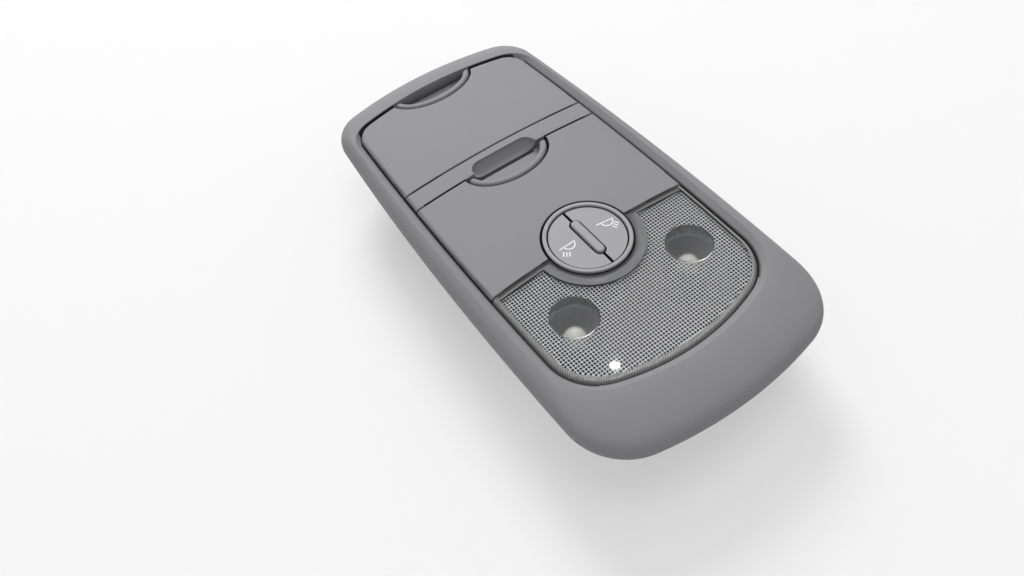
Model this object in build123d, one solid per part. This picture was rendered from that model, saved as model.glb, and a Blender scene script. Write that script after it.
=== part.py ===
from build123d import *
from math import cos, radians, sin
import os

# Roof console with two map lights and two lidded bins, lying on its back with its face up.
# Millimetres. Z 0 is the back that it rests on, +Z is the face, +Y is the front lid's end.

# Driving sizes of the whole
FACE_HEIGHT = 42.0
OPENING_WIDTH = 105.0
FRONT_LID_LENGTH = 55.2
CROSSBAR_WIDTH = 10.2
REAR_LID_LENGTH = 60.8
LENS_LENGTH = 69.8
FRONT_RAIL = 13.2
REAR_RAIL = 28.4
SIDE_RAIL = 10.5

# Bezel
RIM_DROP = 8.0
RIM_LIP = 1.5
CREST_RISE = 0.4
INNER_SLOPE_WIDTH = 3.2
INNER_SLOPE_DROP = 2.2
FRONT_LEDGE = 0.4
BEZEL_WALL = 2.4
SKIRT_WALL = 1.8
ROLL_ANGLES = (0, 25, 50, 70, 90)
BOSS_RADIUS = 3.0
FRONT_BOSS_X = 28.0
REAR_BOSS_X = 36.0
REAR_BOSS_INSET = 17.8
CLIP_BLADE = (12.0, 1.8, 18.0)
FRONT_CLIP_X = 12.0
REAR_CLIP_X = 14.0
REAR_CLIP_INSET = 12.0
CLIP_STEEL = 0.5
CLIP_SIDE_GAP = 1.0
CLIP_BEND = (0.2, 1.0)
CLIP_WING = (1.6, 7.0)

# Panel of lids, crossbar and lens
PANEL_GAP = 0.5
SEAM_GAP = 0.7
SEAM_RADIUS = 520.0
LID_THICK = 2.4
LID_EDGE_ROUND = 1.8
SEAM_EASE = 0.25
LIP_INSET = 1.6
LIP_WALL = 1.2
LIP_DEPTH = 3.0
LIP_SETBACK = 9.0
RIB_X = 15.0
RIB_WALL = 1.2
RIB_DEPTH = 2.0
RIB_START = 14.0
RIB_END = 3.0

# Carrier plate
CARRIER_DROP = 15.0
CARRIER_THICK = 2.0
WEB_WALL = 2.0
SCOOP_RADIUS = 6.0
SCOOP_LENGTH = 35.0
SCOOP_DEPTH = 4.6
TAB_WIDTH = 9.0
TAB_ROOT = 8.0

# Lid hinges
HINGE_INSET = 3.0
HINGE_DROP = 2.2
HINGE_SIDE_INSET = 5.0
KNUCKLE_LENGTH = 5.0
KNUCKLE_RADIUS = 2.0
EAR_WIDTH = 3.0
EAR_RADIUS = 1.5
EAR_GAP = 0.25
EAR_FOOT = 3.8
HINGE_PIN_RADIUS = 0.8
RUNNING_FIT = 0.06
SEATED_FIT = 0.02

# Latches
FRONT_MOON = (23.0, 12.9)
REAR_MOON = (23.0, 14.5)
LATCH_GAP = 1.1
LATCH_HEIGHT = 9.0
LATCH_FACE_DROP = 0.1
LATCH_RIM = 3.2
LATCH_RIM_ROUND = 1.4
DISH_DEPTH = 4.4
DISH_SLOPE = 0.8
LATCH_EDGE = 1.6
LATCH_PIN_INSET = 4.8
LATCH_PIN_DROP = 11.0
LATCH_PIN_RADIUS = 1.0
LATCH_LUG_RADIUS = 2.2
LATCH_LUG_X = (15.5, 18.5)
LID_LUG_X = (24.4, 26.6)
NOSE_X = 18.0
NOSE_WIDTH = 5.0
NOSE_DROPS = (4.6, 6.4)
NOSE_ROOT = 1.0
NOSE_GAP = 0.3
LEAF_THICK = 0.4
LEAF_WIDTH = 7.0
LEAF_FOOT = (12.0, 4.0)
LEAF_TIP_DROP = 7.5
LEAF_PLAY = 0.1

# Bins
BIN_SIDE_INSET = 13.5
BIN_WALL = 1.8
BIN_FLOOR = 2.0
BIN_CORNER = 6.0
BIN_FLANGE = 4.5
BIN_FLANGE_THICK = 1.6
FRONT_BIN_NEAR = 15.3
FRONT_BIN_FAR = 10.0
REAR_BIN_NEAR = 26.6
REAR_BIN_FAR = 10.0
ROOF_SCREW_RADIUS = 2.25
ROOF_SCREW_INSET = 7.0
BUMPER_RADIUS = 1.6
BUMPER_OUTSET = 4.0
BUMPER_INSET = 14.0
BUMPER_HEIGHT = 2.0
BIN_SCREW_INSET = 4.7

# Switch
SWITCH_OFFSET = 0.8
WIDEST_OFFSET = 10.0
CUTOUT_RADIUS = 20.7
RING_RADIUS = 19.7
RING_WIDTH = 1.9
RING_RISE = 0.5
RING_ROUND = 0.5
BAR_ROUND = 0.8
CUP_DROP = 18.5
CUP_FLOOR = 1.5
SWITCH_FLANGE_RADIUS = 23.0
BAR_LENGTH = 21.0
BAR_WIDTH = 4.2
BAR_RISE = 0.7
BUTTON_DROP = 0.3
BUTTON_GAP = 0.6
BAR_GAP = 0.7
BUTTON_WALL = 1.3
BUTTON_TOP = 1.8
BUTTON_SKIRT = 7.0
STEM_X = 9.0
STEM_RADIUS = 2.4
STEM_DROP = 11.0
BOARD_RADIUS = 18.5
BOARD_THICK = 1.6
BOARD_CLEARANCE = 0.5
CONTACT_WIDTH = 5.0
CONTACT_THICK = 0.3
CONTACT_FOOT = (6.0, 2.0)
CONTACT_TIP = (1.0, -2.0)

# Lens
LENS_WALL = 2.0
LENS_EDGE_ROUND = 3.0
LENS_SKIRT_DROP = 14.9
WINDOW_DROP = 31.0

# Lamp housing and what it holds
LAMP_SIDE_INSET = 9.3
WINDOW_INSET = 12.0
LAMP_WALL = 1.8
LAMP_REAR_INSET = 8.0
LAMP_FRONT_INSET = 6.0
LAMP_CORNER = 12.0
LAMP_FLOOR = (8.0, 10.0)
LAMP_FLANGE_THICK = 1.5
LAMP_FLANGE = 6.5
REFLECTOR_MOUTH = 11.6
REFLECTOR_THROAT = 7.0
REFLECTOR_TOP_DROP = 7.0
REFLECTOR_WALL = 1.0
REFLECTOR_BULGE = (0.65, 0.42)
REFLECTOR_FLANGE = 9.5
HOLDER_RADIUS = 6.6
HOLDER_BOTTOM = 2.0
HOLDER_TOP = 14.0
HOLDER_FLANGE = 8.6
HOLDER_FLANGE_THICK = 1.5
HOLDER_SOCKET = 8.0
BULB_RADIUS = 5.0
BULB_BASE_RADIUS = 4.1
BULB_TOP_DROP = 9.5
BULB_NECK = 0.2
BULB_SHOULDER = 1.5
BUS_WIDTH = 4.0
BUS_THICK = 0.8
SOCKET = (18.0, 12.0, 12.0)
SOCKET_WALL = 1.6
SOCKET_Z = 17.0
PIN_COUNT = 3
PIN_PITCH = 4.0
PIN_SIDE = 1.0
PIN_RECESS = 5.0

# Screws
SCREW_RADIUS = 1.3
SCREW_HEAD_RADIUS = 2.6
SCREW_HEAD = 1.6
SCREW_FIT = 0.05
BEZEL_SCREW = 9.0
BIN_SCREW = 5.0
LAMP_SCREW = 3.3
SWITCH_SCREW = 3.3

# Places across X, from the sizes
BIN_WIDTH = OPENING_WIDTH - 2 * BIN_SIDE_INSET
HINGE_X = BIN_WIDTH / 2 - HINGE_SIDE_INSET
ROOF_SCREW_X = BIN_WIDTH / 2 - ROOF_SCREW_INSET
BUMPER_X = BIN_WIDTH / 2 + BUMPER_OUTSET
LAMP_WIDTH = OPENING_WIDTH - 2 * LAMP_SIDE_INSET
WINDOW_X = LAMP_WIDTH / 2 - WINDOW_INSET

# Places along Y, from the sizes
OPENING_LENGTH = FRONT_LID_LENGTH + CROSSBAR_WIDTH + REAR_LID_LENGTH + LENS_LENGTH
LENGTH = OPENING_LENGTH + FRONT_RAIL + REAR_RAIL
FRONT_END = LENGTH / 2
REAR_END = -LENGTH / 2
OPENING_REAR = REAR_END + REAR_RAIL
LENS_FRONT = OPENING_REAR + LENS_LENGTH
SEAM_REAR = LENS_FRONT + REAR_LID_LENGTH
SEAM_FRONT = SEAM_REAR + CROSSBAR_WIDTH
OPENING_FRONT = SEAM_FRONT + FRONT_LID_LENGTH
SWITCH_Y = LENS_FRONT - SWITCH_OFFSET
LAMP_Y = SWITCH_Y - WINDOW_DROP
FRONT_HINGE_Y = SEAM_FRONT + HINGE_INSET
REAR_HINGE_Y = LENS_FRONT + HINGE_INSET

# Plan outlines: two end arcs, two side arcs and rounded corners
RIM_PLAN = dict(front=FRONT_END, rear=REAR_END, half_width=OPENING_WIDTH / 2 + SIDE_RAIL,
                widest=REAR_END + LENGTH / 4, front_radius=180.0, rear_radius=190.0,
                side_radius=1587.0, front_corner=18.0, rear_corner=28.0)
OPENING_PLAN = dict(front=OPENING_FRONT, rear=OPENING_REAR, half_width=OPENING_WIDTH / 2,
                    widest=SWITCH_Y - WIDEST_OFFSET, front_radius=170.0, rear_radius=110.0,
                    side_radius=1750.0, front_corner=12.0, rear_corner=24.0)


def under_face(drop):
    """Height of a point that lies so far under the lids' face."""
    return FACE_HEIGHT - drop


def prism(face, bottom, top):
    """A flat face in XY, raised from one height to another."""
    return Pos(0, 0, bottom) * extrude(face, top - bottom)


def post(x, y, radius, bottom, top):
    return Pos(x, y, (bottom + top) / 2) * Cylinder(radius, top - bottom)


def rod(x_start, x_end, y, z, radius):
    return Pos((x_start + x_end) / 2, y, z) * Rot(0, 90, 0) * Cylinder(radius, abs(x_end - x_start))


def block(x_span, y_span, z_span):
    spans = (x_span, y_span, z_span)
    middle = [(low + high) / 2 for low, high in spans]
    return Pos(*middle) * Box(*[high - low for low, high in spans])


def side_slice(points, x_start, x_end):
    """A closed outline of (Y, Z) points, carried along X."""
    face = make_face(Polyline(*points, close=True))
    return Pos(min(x_start, x_end), 0, 0) * extrude(Plane.YZ * face, abs(x_end - x_start))


def side_strip(points, thick, x_start, x_end):
    """A thin bent strip along (Y, Z) points, carried along X."""
    face = trace(Polyline(*points), thick)
    return Pos(x_start, 0, 0) * extrude(Plane.YZ * face, x_end - x_start)


def grown(sizes, amount):
    """The sizes of a plan outline moved outwards."""
    moved = {name: value + amount for name, value in sizes.items()}
    moved["rear"] = sizes["rear"] - amount
    moved["widest"] = sizes["widest"]
    return moved


def rounded_plan(front, rear, half_width, widest, front_radius, rear_radius, side_radius,
                 front_corner, rear_corner):
    plan = Pos(0, front - front_radius) * Circle(front_radius)
    plan &= Pos(0, rear + rear_radius) * Circle(rear_radius)
    for side in (-1, 1):
        plan &= Pos(side * (half_width - side_radius), widest) * Circle(side_radius)
    plan = fillet(plan.vertices().sort_by(Axis.Y)[-2:], front_corner)
    return fillet(plan.vertices().sort_by(Axis.Y)[:2], rear_corner)


def opening(amount=0.0):
    return rounded_plan(**grown(OPENING_PLAN, amount))


def between_plans(share, inset):
    """A plan part of the way from the rim to the bezel's crest."""
    crest = grown(OPENING_PLAN, INNER_SLOPE_WIDTH)
    sizes = {name: RIM_PLAN[name] + (crest[name] - RIM_PLAN[name]) * share for name in crest}
    return rounded_plan(**grown(sizes, -inset))


def bezel_roll(inset):
    """The bezel's rolled form from its rim up to its crest, as a full solid."""
    rim = under_face(RIM_DROP)
    start = rim + RIM_LIP
    rise = under_face(-CREST_RISE) - inset - start
    sections = []
    for angle in ROLL_ANGLES:
        share = 1 - cos(radians(angle))
        height = start + rise * sin(radians(angle))
        sections.append(Pos(0, 0, height) * between_plans(share, inset))
    return prism(between_plans(0, inset), rim, start) + loft(sections)


def boss_places():
    front_y = (OPENING_FRONT + SKIRT_WALL + FRONT_END - BEZEL_WALL) / 2 - FRONT_BOSS_X ** 2 / (
        2 * RIM_PLAN["front_radius"])
    rear_y = REAR_END + REAR_BOSS_INSET
    places = [(side * FRONT_BOSS_X, front_y) for side in (-1, 1)]
    return places + [(side * REAR_BOSS_X, rear_y) for side in (-1, 1)]


def clip_places():
    front_y = (OPENING_FRONT + SKIRT_WALL + FRONT_END - BEZEL_WALL) / 2
    rear_y = REAR_END + REAR_CLIP_INSET
    places = [(side * FRONT_CLIP_X, front_y) for side in (-1, 1)]
    return places + [(side * REAR_CLIP_X, rear_y) for side in (-1, 1)]


def bezel():
    crest = under_face(-CREST_RISE)
    rim = under_face(RIM_DROP)
    skirt_bottom = under_face(CARRIER_DROP)
    roll = bezel_roll(0)
    shell = roll - bezel_roll(BEZEL_WALL)
    shell += prism(opening(SKIRT_WALL) - opening(), skirt_bottom, crest - BEZEL_WALL / 2)

    fixings = Part()
    for x, y in boss_places():
        fixings += post(x, y, BOSS_RADIUS, skirt_bottom, crest)
    for x, y in clip_places():
        width, thick, depth = CLIP_BLADE
        fixings += block((x - width / 2, x + width / 2), (y - thick / 2, y + thick / 2),
                         (under_face(depth), crest))
    shell += fixings & (roll + prism(between_plans(0, 0), 0, rim))
    for x, y in boss_places():
        shell -= post(x, y, SCREW_RADIUS + SCREW_FIT, skirt_bottom, under_face(RIM_DROP - SCREW_HEAD))

    slope_foot = crest - INNER_SLOPE_DROP
    slope_top = grown(OPENING_PLAN, INNER_SLOPE_WIDTH)
    slope_top["front"] = OPENING_FRONT + FRONT_LEDGE
    slope = loft([Pos(0, 0, slope_foot) * opening(), Pos(0, 0, crest) * rounded_plan(**slope_top)])
    return shell - slope - prism(opening(), 0, crest)


def roof_clips():
    """Folded steel clips that ride on the bezel's blades."""
    group = []
    width, thick, depth = CLIP_BLADE
    half = thick / 2 + CLIP_STEEL / 2 + SEATED_FIT
    bottom = under_face(depth) - CLIP_STEEL / 2 - SEATED_FIT
    for x, y in clip_places():
        wing = [(half, 0), (half + CLIP_BEND[0], CLIP_BEND[1]), (half + CLIP_WING[0], CLIP_WING[1])]
        points = [(y - out, bottom + rise) for out, rise in reversed(wing)]
        points += [(y + out, bottom + rise) for out, rise in wing]
        reach = width / 2 - CLIP_SIDE_GAP
        group.append(side_strip(points, CLIP_STEEL, x - reach, x + reach))
    return Compound(children=group)


def seam_disc(seam_y, margin):
    """The plan behind a seam, which bows towards the front in the middle."""
    return Pos(0, seam_y - SEAM_RADIUS) * Circle(SEAM_RADIUS + margin)


def switch_hole(grow):
    return Pos(0, SWITCH_Y) * Circle(CUTOUT_RADIUS + grow)


def half_moon(sizes, edge_y, grow):
    half_width, depth = sizes
    return Pos(0, edge_y) * Ellipse(half_width + grow, depth + grow)


def panel_blank(thick, edge_round):
    """The whole panel in the bezel's opening, with its edge along the bezel rounded."""
    blank = prism(opening(-PANEL_GAP), under_face(thick), under_face(0))
    return fillet(blank.faces().sort_by(Axis.Z)[-1].edges(), edge_round)


def eased(plan_of, sense):
    """A solid on a plan that widens (1) or narrows (-1) at the face, to ease a panel's edge."""
    shoulder = under_face(SEAM_EASE)
    mouth = loft([Pos(0, 0, shoulder) * plan_of(0),
                  Pos(0, 0, under_face(-SEAM_EASE)) * plan_of(2 * sense * SEAM_EASE)])
    return prism(plan_of(0), under_face(CARRIER_DROP), shoulder) + mouth


def ahead_of(panel, seam_y):
    return panel - eased(lambda grow: seam_disc(seam_y, SEAM_GAP / 2 + grow), 1)


def behind(panel, seam_y):
    return panel & eased(lambda grow: seam_disc(seam_y, grow - SEAM_GAP / 2), -1)


def hinge_knuckles(hinge_y):
    """What a lid gains at its hinges, and what is cut out over the ears."""
    knuckles = Part()
    pockets = Part()
    z = under_face(HINGE_DROP)
    half = KNUCKLE_LENGTH / 2
    for side in (-1, 1):
        x = side * HINGE_X
        knuckles += rod(x - half, x + half, hinge_y, z, KNUCKLE_RADIUS)
        knuckles += block((x - half, x + half), (hinge_y - KNUCKLE_RADIUS, hinge_y + KNUCKLE_RADIUS),
                          (z, under_face(LID_THICK / 2)))
        pockets += rod(x - half, x + half, hinge_y, z, HINGE_PIN_RADIUS + RUNNING_FIT)
        for low, high in ear_spans(x):
            pockets += rod(low - EAR_GAP, high + EAR_GAP, hinge_y, z, EAR_RADIUS + EAR_GAP)
    return knuckles, pockets


def ear_spans(x):
    """The two ears beside one knuckle, as spans along X."""
    start = KNUCKLE_LENGTH / 2 + EAR_GAP
    return ((x - start - EAR_WIDTH, x - start), (x + start, x + start + EAR_WIDTH))


def hinge_pins(hinge_y):
    reach = KNUCKLE_LENGTH / 2 + EAR_GAP + EAR_WIDTH
    z = under_face(HINGE_DROP)
    return Compound(children=[rod(side * HINGE_X - reach, side * HINGE_X + reach, hinge_y, z,
                                  HINGE_PIN_RADIUS) for side in (-1, 1)])


def latch_lugs(edge_y):
    """The lid's lugs that carry the latch pin."""
    y = edge_y - LATCH_PIN_INSET
    z = under_face(LATCH_PIN_DROP)
    near, far = LID_LUG_X
    lugs = Part()
    for side in (-1, 1):
        lugs += rod(side * near, side * far, y, z, LATCH_LUG_RADIUS)
        lugs += side_slice([(y - LATCH_LUG_RADIUS, z), (y + LATCH_LUG_RADIUS, z),
                            (y + LATCH_LUG_RADIUS / 2, under_face(LID_THICK / 2)),
                            (y - 3 * LATCH_LUG_RADIUS, under_face(LID_THICK / 2))],
                           side * near, side * far)
    return lugs - rod(-far, far, y, z, LATCH_PIN_RADIUS + SEATED_FIT)


def lid(plate, moon, edge_y, hinge_y):
    """A flat lid with side lips, ribs, hinge knuckles and latch lugs."""
    plate -= eased(lambda grow: half_moon(moon, edge_y, grow), 1)
    lips = opening(-PANEL_GAP - LIP_INSET) - opening(-PANEL_GAP - LIP_INSET - LIP_WALL)
    lips &= Pos(0, (hinge_y + edge_y) / 2) * Rectangle(OPENING_WIDTH, edge_y - hinge_y - 2 * LIP_SETBACK)
    knuckles, pockets = hinge_knuckles(hinge_y)
    plate += prism(lips, under_face(LID_THICK + LIP_DEPTH), under_face(LID_THICK))
    rib_span = (hinge_y + RIB_START, edge_y - moon[1] - RIB_END)
    for x in (-RIB_X, RIB_X):
        plate += block((x - RIB_WALL / 2, x + RIB_WALL / 2), rib_span,
                       (under_face(LID_THICK + RIB_DEPTH), under_face(LID_THICK / 2)))
    return plate + knuckles - pockets + latch_lugs(edge_y)


def front_lid():
    plate = ahead_of(panel_blank(LID_THICK, LID_EDGE_ROUND), SEAM_FRONT)
    return lid(plate, FRONT_MOON, OPENING_FRONT - PANEL_GAP, FRONT_HINGE_Y)


def rear_lid():
    plate = ahead_of(behind(panel_blank(LID_THICK, LID_EDGE_ROUND), SEAM_REAR), LENS_FRONT)
    plate -= eased(switch_hole, 1)
    return lid(plate, REAR_MOON, SEAM_REAR - SEAM_GAP / 2, REAR_HINGE_Y)


def latch(moon, edge_y, nose_y):
    """A half-moon pull paddle: rounded rim, sunk floor, two pivot lugs and two catch noses."""
    half_width, depth = moon
    front_y = edge_y - LATCH_EDGE
    outline = half_moon(moon, edge_y, -LATCH_GAP)
    outline &= Pos(0, front_y - depth) * Rectangle(2 * half_width, 2 * depth)
    paddle = prism(outline, under_face(LATCH_HEIGHT), under_face(LATCH_FACE_DROP))
    inset = LATCH_GAP + LATCH_RIM
    paddle -= loft([Pos(0, 0, under_face(DISH_DEPTH)) * half_moon(moon, edge_y, -inset - DISH_SLOPE),
                    Pos(0, 0, under_face(0)) * half_moon(moon, edge_y, -inset)])
    rim = paddle.faces().sort_by(Axis.Z)[-1].edges().filter_by(GeomType.LINE, reverse=True)
    paddle = fillet(rim, LATCH_RIM_ROUND)

    y = edge_y - LATCH_PIN_INSET
    z = under_face(LATCH_PIN_DROP)
    near, far = LATCH_LUG_X
    for side in (-1, 1):
        paddle += rod(side * near, side * far, y, z, LATCH_LUG_RADIUS)
        paddle += block(sorted((side * near, side * far)), (y - LATCH_LUG_RADIUS, front_y),
                        (z, under_face(LATCH_HEIGHT)))
        paddle += block((side * NOSE_X - NOSE_WIDTH / 2, side * NOSE_X + NOSE_WIDTH / 2),
                        (front_y - NOSE_ROOT, nose_y), (under_face(NOSE_DROPS[1]), under_face(NOSE_DROPS[0])))
    return paddle - rod(-far, far, y, z, LATCH_PIN_RADIUS + RUNNING_FIT)


def front_latch():
    keeper_y = OPENING_FRONT - (NOSE_X + NOSE_WIDTH / 2) ** 2 / (2 * OPENING_PLAN["front_radius"])
    return latch(FRONT_MOON, OPENING_FRONT - PANEL_GAP, keeper_y - NOSE_GAP)


def rear_latch():
    keeper_y = SEAM_REAR + SEAM_GAP / 2 - (NOSE_X + NOSE_WIDTH / 2) ** 2 / (2 * SEAM_RADIUS)
    return latch(REAR_MOON, SEAM_REAR - SEAM_GAP / 2, keeper_y - NOSE_GAP)


def latch_pin(edge_y):
    far = LID_LUG_X[1]
    return rod(-far, far, edge_y - LATCH_PIN_INSET, under_face(LATCH_PIN_DROP), LATCH_PIN_RADIUS)


def latch_spring(moon, edge_y):
    """A leaf spring under the lid that presses on the back of the paddle."""
    paddle_y = edge_y - moon[1] + LATCH_GAP
    half = LEAF_THICK / 2
    z = under_face(LID_THICK) - half
    foot, bend = LEAF_FOOT
    tip = (paddle_y - half - LEAF_PLAY, under_face(LEAF_TIP_DROP))
    points = [(paddle_y - foot, z), (paddle_y - bend, z), tip]
    return side_strip(points, LEAF_THICK, -LEAF_WIDTH / 2, LEAF_WIDTH / 2)


def bin_box(near_y, far_y, grow):
    plan = RectangleRounded(BIN_WIDTH + 2 * grow, far_y - near_y + 2 * grow, BIN_CORNER + grow)
    return Pos(0, (near_y + far_y) / 2) * plan


def bin_tub(near_y, far_y, hinge_y):
    """A bin with a flange on the carrier, hinge ears, bumper posts and roof screw holes."""
    flange_top = under_face(CARRIER_DROP - BIN_FLANGE_THICK)
    tub = prism(bin_box(near_y, far_y, BIN_WALL), 0, flange_top)
    tub += prism(bin_box(near_y, far_y, BIN_FLANGE), under_face(CARRIER_DROP), flange_top)
    tub -= prism(bin_box(near_y, far_y, 0), BIN_FLOOR, flange_top)

    z = under_face(HINGE_DROP)
    foot = flange_top - z
    reach = near_y - hinge_y
    ear_top = under_face(LID_THICK) - EAR_GAP - z
    tangent = EAR_RADIUS * sin(radians(45))
    outline = [(0, ear_top), (tangent, -tangent), (reach - EAR_FOOT, foot), (reach, foot), (reach, ear_top)]
    for side in (-1, 1):
        for low, high in ear_spans(side * HINGE_X):
            ear = side_slice([(hinge_y + y, z + rise) for y, rise in outline], low, high)
            tub += ear + rod(low, high, hinge_y, z, EAR_RADIUS)
            tub -= rod(low, high, hinge_y, z, HINGE_PIN_RADIUS + SEATED_FIT)
        tub += post(side * BUMPER_X, far_y - BUMPER_INSET, BUMPER_RADIUS, flange_top,
                    under_face(LID_THICK + BUMPER_HEIGHT))
    for x, y in roof_screw_places(far_y):
        tub -= post(x, y, ROOF_SCREW_RADIUS, 0, BIN_FLOOR)
    for x, y in bin_screw_places(far_y):
        tub -= post(x, y, SCREW_RADIUS + SCREW_FIT, under_face(CARRIER_DROP), flange_top)
    return tub


def roof_screw_places(far_y):
    return [(side * ROOF_SCREW_X, far_y - ROOF_SCREW_INSET) for side in (-1, 1)]


def bin_screw_places(far_y):
    return [(side * BUMPER_X, far_y - BIN_SCREW_INSET) for side in (-1, 1)]


def bin_ends():
    """Inner near and far walls of the front bin and of the rear bin."""
    front = (SEAM_FRONT + FRONT_BIN_NEAR, OPENING_FRONT - FRONT_BIN_FAR)
    rear = (LENS_FRONT + REAR_BIN_NEAR, SEAM_REAR - REAR_BIN_FAR)
    return front, rear


def lid_bumpers():
    top = under_face(LID_THICK + SEATED_FIT)
    group = []
    for near_y, far_y in bin_ends():
        for side in (-1, 1):
            group.append(post(side * BUMPER_X, far_y - BUMPER_INSET, BUMPER_RADIUS,
                              under_face(LID_THICK + BUMPER_HEIGHT), top))
    return Compound(children=group)


def lamp_plan(grow):
    length = LENS_LENGTH - LAMP_REAR_INSET - LAMP_FRONT_INSET
    middle = OPENING_REAR + LAMP_REAR_INSET + length / 2
    return Pos(0, middle) * RectangleRounded(LAMP_WIDTH + 2 * grow, length + 2 * grow, LAMP_CORNER + grow)


def lamp_screw_places():
    y = OPENING_REAR + LAMP_REAR_INSET + LENS_LENGTH / 2
    return [(side * (LAMP_WIDTH / 2 + LAMP_WALL + LAMP_FLANGE / 2), y) for side in (-1, 1)]


def carrier():
    """The plate behind the bezel, with the crossbar and the finger scoop on it."""
    top = under_face(CARRIER_DROP)
    bottom = top - CARRIER_THICK
    plan = opening(SKIRT_WALL)
    for x, y in boss_places():
        plan += Pos(x, y) * Circle(TAB_WIDTH / 2)
        root = OPENING_FRONT - TAB_ROOT if y > 0 else OPENING_REAR + TAB_ROOT
        plan += Pos(x, (y + root) / 2) * Rectangle(TAB_WIDTH, abs(y - root))
    for near_y, far_y in bin_ends():
        plan -= bin_box(near_y, far_y, BIN_WALL + EAR_GAP)
    plan -= lamp_plan(0) - Pos(0, SWITCH_Y) * Circle(SWITCH_FLANGE_RADIUS)
    plan -= Pos(0, SWITCH_Y) * Circle(RING_RADIUS + EAR_GAP)
    for x, y in screw_places():
        plan -= Pos(x, y) * Circle(SCREW_RADIUS + SCREW_FIT)
    frame = prism(plan, bottom, top)

    bar = behind(ahead_of(panel_blank(LID_THICK, LID_EDGE_ROUND), SEAM_REAR), SEAM_FRONT)
    bar_plan = opening(-PANEL_GAP) & seam_disc(SEAM_FRONT, -SEAM_GAP / 2)
    bar_plan -= seam_disc(SEAM_REAR, SEAM_GAP / 2)
    inner = bar_plan & Rectangle(BIN_WIDTH + 2 * BIN_FLANGE, LENGTH)
    core = offset(inner, -WEB_WALL)
    bar += prism(inner - core, top, under_face(LID_THICK))
    block_half = SCOOP_LENGTH / 2 + WEB_WALL
    bar += prism(bar_plan & Rectangle(2 * block_half, LENGTH), under_face(SCOOP_RADIUS + WEB_WALL),
                 under_face(LID_THICK))
    return frame + (bar - finger_scoop())


def finger_scoop():
    """A round-ended trough along the rear seam, flatter than it is wide."""
    half_slot = SlotOverall(SCOOP_LENGTH, 2 * SCOOP_RADIUS)
    half_slot &= Pos(0, SCOOP_RADIUS) * Rectangle(2 * SCOOP_LENGTH, 2 * SCOOP_RADIUS)
    trough = scale(revolve(half_slot, Axis.X), (1, 1, SCOOP_DEPTH / SCOOP_RADIUS))
    return Pos(0, SEAM_REAR, under_face(0)) * trough


def screw_places():
    places = boss_places() + lamp_screw_places() + switch_screw_places()
    for near_y, far_y in bin_ends():
        places += bin_screw_places(far_y)
    return places


def switch_screw_places():
    return [(side * (RING_RADIUS + SWITCH_FLANGE_RADIUS) / 2, SWITCH_Y) for side in (-1, 1)]


def bar_outline(grow):
    return Pos(0, SWITCH_Y) * Rot(0, 0, 90) * SlotOverall(BAR_LENGTH + 2 * grow, BAR_WIDTH + 2 * grow)


def switch_housing():
    """The cup with the raised ring and the stadium bar, held under the carrier by its flange."""
    bottom = under_face(CUP_DROP)
    plate_bottom = under_face(CARRIER_DROP + CARRIER_THICK)
    ring_top = under_face(-RING_RISE)
    cup = post(0, SWITCH_Y, RING_RADIUS, bottom, ring_top)
    cup -= post(0, SWITCH_Y, RING_RADIUS - RING_WIDTH, bottom + CUP_FLOOR, ring_top)
    cup = fillet(cup.faces().sort_by(Axis.Z)[-1].edges(), RING_ROUND)
    cup += post(0, SWITCH_Y, SWITCH_FLANGE_RADIUS, bottom, plate_bottom)
    bar = prism(bar_outline(0), bottom, under_face(-BAR_RISE))
    bar = fillet(bar.faces().sort_by(Axis.Z)[-1].edges(), BAR_ROUND)
    for x, y in switch_screw_places():
        cup -= post(x, y, SCREW_RADIUS + SCREW_FIT, bottom, plate_bottom)
    return cup + bar


def button(side):
    """Half a disc that slides in the cup, with a skirt and a stem."""
    radius = RING_RADIUS - RING_WIDTH - BUTTON_GAP
    face = Pos(0, SWITCH_Y) * Circle(radius)
    face &= Pos(side * (radius / 2 + BUTTON_GAP), SWITCH_Y) * Rectangle(radius, 2 * radius)
    face -= bar_outline(BAR_GAP)
    top = under_face(BUTTON_DROP)
    cap = prism(face, under_face(BUTTON_SKIRT), top)
    cap = fillet(cap.faces().sort_by(Axis.Z)[-1].edges(), SEAM_EASE)
    cap -= prism(offset(face, -BUTTON_WALL), under_face(BUTTON_SKIRT), top - BUTTON_TOP)
    return cap + post(side * STEM_X, SWITCH_Y, STEM_RADIUS, under_face(STEM_DROP), top - BUTTON_TOP)


def contact_leaf(side):
    """A sprung strip on the cup's floor that carries the stem of one button."""
    half = CONTACT_THICK / 2
    floor = under_face(CUP_DROP - CUP_FLOOR) + half
    tip = under_face(STEM_DROP) - half
    points = [(side * (STEM_X + out), floor) for out in CONTACT_FOOT]
    points += [(side * (STEM_X + out), tip) for out in CONTACT_TIP]
    face = trace(Polyline(*points), CONTACT_THICK)
    strip = extrude(Plane.XZ * face, CONTACT_WIDTH / 2, both=True)
    return Pos(0, SWITCH_Y, 0) * strip


def switch_board():
    top = under_face(CUP_DROP)
    return post(0, SWITCH_Y, BOARD_RADIUS, top - BOARD_THICK, top)


def lens():
    """The clear cover: a flat top, a rolled outer edge and a skirt down to the carrier."""
    cover = behind(panel_blank(LENS_SKIRT_DROP, LENS_EDGE_ROUND), LENS_FRONT) - eased(switch_hole, 1)
    hollow = opening(-PANEL_GAP - LENS_WALL) & seam_disc(LENS_FRONT, -SEAM_GAP / 2 - LENS_WALL)
    hollow -= switch_hole(LENS_WALL)
    return cover - prism(hollow, under_face(LENS_SKIRT_DROP), under_face(LID_THICK))


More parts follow.
